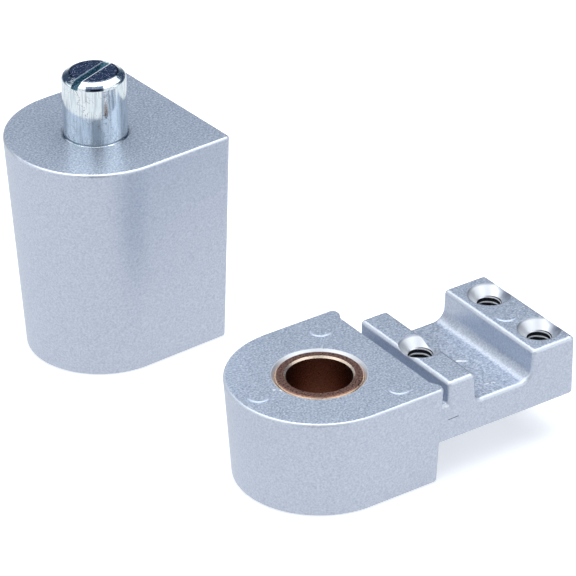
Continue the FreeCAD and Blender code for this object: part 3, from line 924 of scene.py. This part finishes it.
# The bore by the normal's height, and the two bevels by the millimetres from the axis. Each
# pair is where a mask starts and where it is full.
BORE_FROM = (0.3, 0.1)
INSIDE_FROM = (7.0, 6.9)
OUTSIDE_FROM = (7.93, 8.0)


def make_bronze():
    """Oiled sintered bronze: dark pores, painted shade in the bore, and bright edges that are worn
    and carry a painted highlight.
    """
    material, tree, shader = new_material("oiled_bronze")
    pores = place_grain(tree, *PORES)
    slope = place_group(tree, SLOPE)
    coordinates = add_node(tree, "ShaderNodeTexCoord")
    axes = add_node(tree, "ShaderNodeSeparateXYZ")
    wire(tree, (coordinates.outputs["Normal"], axes.inputs[0]))
    upright = stretch(tree, axes.outputs["Z"], *BORE_FROM)
    from_axis = vector_node(tree, "SUBTRACT", coordinates.outputs["Object"],
                            mounts["bush_bore"]["pos_m"])
    sideways = vector_node(tree, "MULTIPLY", from_axis, (1 / MM, 1 / MM, 0))
    radius = vector_node(tree, "LENGTH", sideways)
    inside = stretch(tree, radius, *INSIDE_FROM)
    outside = stretch(tree, radius, *OUTSIDE_FROM)
    painted_light_area = times(tree, slope.outputs["Mask"], plus(tree, inside, outside))
    colour = mix_colour(tree, pores.outputs["Grain"], BRONZE_DARK, BRONZE_LIGHT)
    # Painted shade in the bore.
    colour = mix_colour(tree, upright, colour, BORE_SHADE_COLOUR)
    # Bright bevels: wear and a painted highlight.
    colour = mix_colour(tree, painted_light_area, colour, mix_colour(tree, inside, OUTER_EDGE, INNER_EDGE))
    rough = stretch(tree, pores.outputs["Grain"], 0.0, 1.0, *BRONZE_ROUGHNESS)
    shader.inputs["Metallic"].default_value = 1.0
    wire(tree, (colour, shader.inputs["Base Color"]), (rough, shader.inputs["Roughness"]),
         (bump_from(tree, pores.outputs["Height"]), shader.inputs["Normal"]))
    return material


cover(["bush"], make_bronze())

# %% [markdown]
# ## The screw threads
#
# Five holes are tapped: three down through the arm, and two in the barrel's flat back, where the
# frame's screws go in. The solids have plain holes at the threads' middle radius, because a cut
# thread would make a heavy solid and tell a user nothing new. Stacked rings would be an easy
# stand-in, but a screw thread climbs, and a look into the hole shows it. So each hole gets a
# helical sheet that faces its axis. Its crests stand in from the wall, and its grooves stop just
# short of it. The groove's depth is kept on each point, and the colour paints shade deeper in
# the groove.

# %% A helical sheet
ROWS_PER_TURN = 14
COLUMNS = 72
# Shares of half a pitch: the flat of the crest, and the slope from it down into the groove.
CREST_FLAT = 0.14
FLANK = 0.36
# The sleeve's plain back lies this many millimetres outside the root.
BACK_GAP = 0.006


def thread_points(crest, root, pitch, low, high):
    """Points of a closed sleeve: a threaded inner face from low to high, then a plain back.

    At a height z and an angle a, the turn is z / pitch - a / full circle, and its distance from
    the nearest whole number, doubled, is 0 on a crest and 1 in mid-groove. The depth t rises
    over the flank as 3 t squared less 2 t cubed, and the radius goes from crest to root with it.
    At both ends the radius is at least the root less the distance to the end: a 45 degree bevel.
    """
    rows = int((high - low) / pitch * ROWS_PER_TURN) + 1
    height = np.linspace(low, high, rows)[:, None]
    angle = np.linspace(0, 2 * np.pi, COLUMNS, endpoint=False)[None, :]
    turn = height / pitch - angle / (2 * np.pi)
    from_crest = np.abs(turn - np.round(turn)) * 2
    rise = np.clip((from_crest - CREST_FLAT) / FLANK, 0, 1)
    depth = rise * rise * (3 - 2 * rise)
    inner = crest + (root - crest) * depth
    bevel = root - np.minimum(high - height, height - low)
    inner = np.maximum(inner, bevel)
    radius = np.vstack([inner, np.full((2, COLUMNS), root + BACK_GAP)])
    heights = np.vstack([np.repeat(height, COLUMNS, axis=1), np.full((1, COLUMNS), high),
                         np.full((1, COLUMNS), low)])
    angles = np.repeat(angle, rows + 2, axis=0)
    points = np.stack([radius * np.cos(angles), radius * np.sin(angles), heights], axis=-1)
    return points, np.vstack([depth, np.ones((2, COLUMNS))])


def wrapped_faces(rows, columns):
    """Four-cornered faces over a grid that closes on itself both ways."""
    row, column = np.meshgrid(np.arange(rows), np.arange(columns), indexing="ij")
    next_row, next_column = (row + 1) % rows, (column + 1) % columns
    return np.stack([row * columns + column, next_row * columns + column,
                     next_row * columns + next_column, row * columns + next_column],
                    axis=-1).reshape(-1, 4)


# %% Cut metal
CUT_DARK = (0.80, 0.82, 0.85, 1)
CUT_LIGHT = (0.95, 0.95, 0.96, 1)
# Painted shade in the thread's grooves: its colour, then the depths where it starts and is full.
GROOVE_SHADE = (0.045, 0.045, 0.055, 1)
GROOVE_DARKENS = (0.15, 0.75)
CUT_GRAIN = (0.25, 3.0, 0.004)
CUT_ROUGHNESS = (0.28, 0.6)
CUT_METAL = 0.9


def make_thread_metal():
    """Bare cut metal with painted shade that darkens towards the bottom of the groove."""
    material, tree, shader = new_material("cut_thread")
    depth = add_node(tree, "ShaderNodeAttribute", attribute_name="groove")
    cut = place_grain(tree, *CUT_GRAIN)
    deep = stretch(tree, depth.outputs["Fac"], *GROOVE_DARKENS)
    bright = mix_colour(tree, cut.outputs["Grain"], CUT_DARK, CUT_LIGHT)
    shader.inputs["Metallic"].default_value = CUT_METAL
    wire(tree, (mix_colour(tree, deep, bright, GROOVE_SHADE), shader.inputs["Base Color"]),
         (stretch(tree, deep, 0.0, 1.0, *CUT_ROUGHNESS), shader.inputs["Roughness"]),
         (bump_from(tree, cut.outputs["Height"]), shader.inputs["Normal"]))
    return material


THREAD_METAL = make_thread_metal()
print("made", THREAD_METAL.name)

# %% A sleeve for every tapped hole
# The columns of each matrix say where the sleeve's own x, y and z point.
UPWARD = ((1, 0, 0), (0, 1, 0), (0, 0, 1))
BACKWARD = ((0, 0, 1), (1, 0, 0), (0, 1, 0))
# Radii, pitch and both ends along the hole in millimetres.
ARM_THREAD = {"crest": 2.20, "root": 2.39, "pitch": 1.058, "ends": (7.82, 18.38)}
FRAME_THREAD = {"crest": 2.55, "root": 2.75, "pitch": 1.27, "ends": (9.67, 18.18)}
FRAME_HOLE_STEP = 11.1 * MM


def add_thread(name, centre, body, turn_to, crest, root, pitch, ends):
    """A threaded sleeve in one tapped hole, with the groove's depth as a point attribute.

    The centre is any point of the hole's axis: its part along the axis is left out, because
    the ends already say where the sleeve lies.
    """
    points, depth = thread_points(crest, root, pitch, *ends)
    rows, columns = depth.shape
    turned = points.reshape(-1, 3) @ np.array(turn_to).T
    along = np.array(turn_to)[:, 2]
    turned = turned + np.array(centre) / MM * (1 - np.abs(along))
    mesh = bpy.data.meshes.new(name)
    mesh.from_pydata((turned * MM).tolist(), [], wrapped_faces(rows, columns).tolist())
    groove = mesh.attributes.new("groove", "FLOAT", "POINT")
    groove.data.foreach_set("value", depth.ravel().astype(np.float32))
    mesh.shade_smooth()
    mesh.materials.append(THREAD_METAL)
    piece = bpy.data.objects.new(name, mesh)
    bpy.context.scene.collection.objects.link(piece)
    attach(piece, body)
    print(name, "on", body, "with", len(mesh.polygons), "faces")


for mount in COUNTERSINKS:
    add_thread(f"thread_{mount}", mounts[mount]["pos_m"], "arm", UPWARD, **ARM_THREAD)
for name, side in (("low", -1), ("high", 1)):
    centre = np.array(mounts["frame_holes"]["pos_m"]) + (0, 0, side * FRAME_HOLE_STEP)
    add_thread(f"thread_frame_{name}", centre, "housing", BACKWARD, **FRAME_THREAD)
